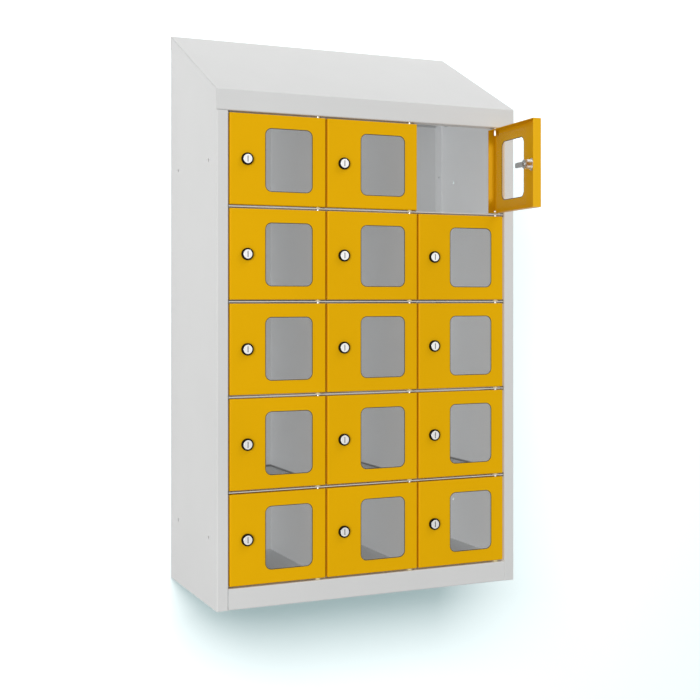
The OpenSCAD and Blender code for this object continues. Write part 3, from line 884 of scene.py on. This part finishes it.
class LOCKER_OT_stage(bpy.types.Operator):
    """Sets up the wall, the floor, the world, the lamps and the camera"""

    bl_idname = "locker.stage"
    bl_label = "Stage"

    def execute(self, context):
        stage = context.scene.locker_stage
        locker = list(context.scene.objects)
        ajar = [bpy.data.objects[f"door_piece_{cell}"] for cell in CELLS if opening(cell)]
        inner = [frame["nodes"][name] for name in ("divider_1", "divider_2", "back_panel")]
        right = [frame["nodes"]["right_side"]]
        backdrop = self.backdrop(stage)
        self.world(stage)
        self.lamp(stage, "key", [obj for obj in locker if obj not in ajar + inner + right])
        self.lamp(stage, "top", locker)
        self.lamp(stage, "fill", inner, shading=backdrop)
        self.lamp(stage, "right_fill", right, shading=backdrop)
        self.lamp(stage, "right", right)
        self.lamp(stage, "door", ajar)
        self.lamp(stage, "inner", ajar)
        self.lamp(stage, "wall", backdrop)
        self.camera(stage)
        context.scene.view_settings.view_transform = "Standard"
        return {"FINISHED"}

    @staticmethod
    def backdrop(stage):
        """A wall behind the locker, which can be looked through from behind, and a floor well below it."""
        bpy.ops.object.select_all(action="DESELECT")
        bpy.ops.mesh.primitive_plane_add(
            size=STUDIO, location=(0, WALL_GAP, 0), rotation=(math.pi / 2, 0, 0)
        )
        wall = settle("wall")
        finished(wall, white_backdrop("white wall", stage, sees_through=True))
        bpy.ops.object.select_all(action="DESELECT")
        bpy.ops.mesh.primitive_plane_add(size=STUDIO, location=(0, -STUDIO / 4, -FLOOR_DROP))
        floor = settle("floor")
        finished(floor, white_backdrop("white floor", stage, sees_through=False))
        return wall, floor

    @staticmethod
    def world(stage):
        """White to the camera, in reflections and through glass, dimmer as a source of light."""
        world = bpy.data.worlds.new("studio")
        bpy.context.scene.world = world
        world.use_nodes = True
        nodes, links = world.node_tree.nodes, world.node_tree.links
        path = nodes.new("ShaderNodeLightPath")
        strength = nodes.new("ShaderNodeMapRange")
        seen = nodes.new("ShaderNodeMath")
        seen.operation = "MAXIMUM"
        mirrored = nodes.new("ShaderNodeMath")
        mirrored.operation = "MAXIMUM"
        links.new(path.outputs["Is Camera Ray"], seen.inputs[0])
        links.new(path.outputs["Is Transmission Ray"], seen.inputs[1])
        links.new(seen.outputs[0], mirrored.inputs[0])
        links.new(path.outputs["Is Glossy Ray"], mirrored.inputs[1])
        links.new(mirrored.outputs[0], strength.inputs["Value"])
        strength.inputs["To Min"].default_value = stage.world
        links.new(strength.outputs[0], nodes["Background"].inputs["Strength"])
        nodes["Background"].inputs["Color"].default_value = (1, 1, 1, 1)

    @staticmethod
    def lamp(stage, kind, lit, shading=()):
        """A soft lamp that lights only some objects. Everything shades it, unless what does is given."""
        name = kind.replace("_", " ") + " lamp"
        place, height, width = LAMPS[kind]
        light = bpy.data.lights.new(name, "AREA")
        light.shape = "RECTANGLE"
        light.energy, light.size, light.size_y = getattr(stage, kind), width, height
        lamp = bpy.data.objects.new(name, light)
        bpy.context.scene.collection.objects.link(lamp)
        lamp.location = place
        lamp.rotation_euler = (AIM - lamp.location).to_track_quat("-Z", "Y").to_euler()
        lamp.light_linking.receiver_collection = grouped(f"lit by the {name}", lit)
        if shading:
            lamp.light_linking.blocker_collection = grouped(f"shading the {name}", shading)

    @staticmethod
    def camera(stage):
        """The photograph's level view from the left, with the lens shifted down."""
        data = bpy.data.cameras.new("camera")
        data.lens, data.shift_y = stage.lens, stage.shift
        camera = bpy.data.objects.new("camera", data)
        bpy.context.scene.collection.objects.link(camera)
        camera.location = stage.camera_place
        camera.rotation_euler = (math.pi / 2, 0, -stage.camera_turn)
        bpy.context.scene.camera = camera


def grouped(name, objects):
    """A collection of objects."""
    group = bpy.data.collections.new(name)
    for obj in objects:
        group.objects.link(obj)
    return group


def white_backdrop(name, stage, sees_through):
    """Matt white that the camera, metal and glass see brighter than it is as a source of light.

    The camera also sees a faint glow in it, which keeps its shadows cool. The wall can be looked through
    from behind, and rays from what is close to it pass, so that the locker's back isn't black.
    """
    paint = Finish(name)
    matt = paint.node("ShaderNodeBsdfDiffuse", inputs={"Color": solid(stage.backdrop)})
    half = paint.node("ShaderNodeBsdfDiffuse", inputs={"Color": solid(stage.seen)})
    bright = paint.node("ShaderNodeAddShader", inputs={0: half, 1: half})
    glow = paint.node("ShaderNodeEmission", inputs={"Color": solid(stage.shade)})
    camera, mirror, glass = (
        paint.node("ShaderNodeLightPath", output=f"Is {kind} Ray")
        for kind in ("Camera", "Glossy", "Transmission")
    )
    lifted = paint.node("ShaderNodeAddShader", inputs={0: bright, 1: glow})
    reflected = mirror.math("MAXIMUM", glass)
    shader = paint.node("ShaderNodeMixShader", inputs={0: reflected, 1: matt, 2: bright})
    shader = paint.node("ShaderNodeMixShader", inputs={0: camera, 1: shader, 2: lifted})
    if sees_through:
        behind = paint.node("ShaderNodeNewGeometry", output="Backfacing")
        near = paint.node("ShaderNodeLightPath", output="Ray Length").math("LESS_THAN", TOUCHING)
        gone = paint.node("ShaderNodeBsdfTransparent")
        passed = behind.math("MAXIMUM", near)
        shader = paint.node("ShaderNodeMixShader", inputs={0: passed, 1: shader, 2: gone})
    return paint.ends_in(shader)


class LOCKER_PT_panel(bpy.types.Panel):
    """Shows a button for each step and its settings"""

    bl_idname = "LOCKER_PT_panel"
    bl_label = "Phone locker"
    bl_space_type = "VIEW_3D"
    bl_region_type = "UI"
    bl_category = "Locker"

    def draw(self, context):
        """A button for each step, with its settings below it."""
        for operator, settings in STEPS:
            self.layout.operator(operator.bl_idname)
            if settings:
                group = getattr(context.scene, settings)
                column = self.layout.column(align=True)
                for key in group.__annotations__:
                    column.prop(group, key)


STEPS = (
    (LOCKER_OT_carcass, "locker_coats"),
    (LOCKER_OT_doors, "locker_doors"),
    (LOCKER_OT_panes, None),
    (LOCKER_OT_locks, "locker_locks"),
    (LOCKER_OT_stage, "locker_stage"),
)
GROUPS = {
    "locker_doors": DoorSettings,
    "locker_locks": LockSettings,
    "locker_coats": CoatSettings,
    "locker_stage": StageSettings,
}
CLASSES = (*GROUPS.values(), *(operator for operator, settings in STEPS), LOCKER_PT_panel)


def register():
    """Adds the settings, operators and panel."""
    for cls in CLASSES:
        bpy.utils.register_class(cls)
    for name, group in GROUPS.items():
        setattr(bpy.types.Scene, name, PointerProperty(type=group))


def unregister():
    """Takes them away again."""
    for name in GROUPS:
        delattr(bpy.types.Scene, name)
    for cls in reversed(CLASSES):
        bpy.utils.unregister_class(cls)


def main():
    register()
    for operator, _ in STEPS:
        group, name = operator.bl_idname.split(".")
        getattr(getattr(bpy.ops, group), name)()


if __name__ == "__main__":
    main()
